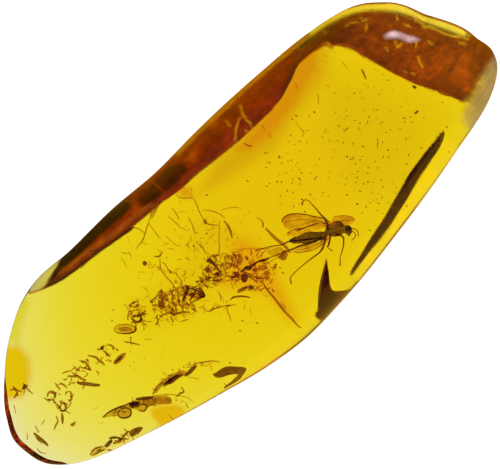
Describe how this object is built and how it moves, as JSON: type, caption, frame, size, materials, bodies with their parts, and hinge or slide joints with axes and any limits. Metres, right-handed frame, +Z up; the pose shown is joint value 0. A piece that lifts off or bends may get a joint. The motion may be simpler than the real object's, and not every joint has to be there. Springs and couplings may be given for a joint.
{
  "type": "amber nugget with insect inclusion",
  "caption": "Polished long amber nugget, clear yellow, thick at one end, with a winged insect and plant debris sealed inside; rests on a small flat spot.",
  "frame": {"origin": "under the middle of the stone's bounding box, on the surface that it rests on", "axes": "+X along the length towards the thick end, +Y across it, +Z up from the flat spot to the crown"},
  "size_m": [0.0421, 0.0156, 0.0085],
  "materials": {
    "amber": "polished clear amber",
    "insect": "dark brown chitin, slightly glossy",
    "debris": "dark brown bark and plant crumbs"
  },
  "bodies": {
    "root": {"amber_upper": "amber", "amber_lower": "amber", "winged_insect": "insect", "debris_seam": "debris", "debris_trail": "debris", "bark_sliver_long": "debris", "bark_sliver_short": "debris", "seed_husk": "debris"}
  },
  "joints": []
}
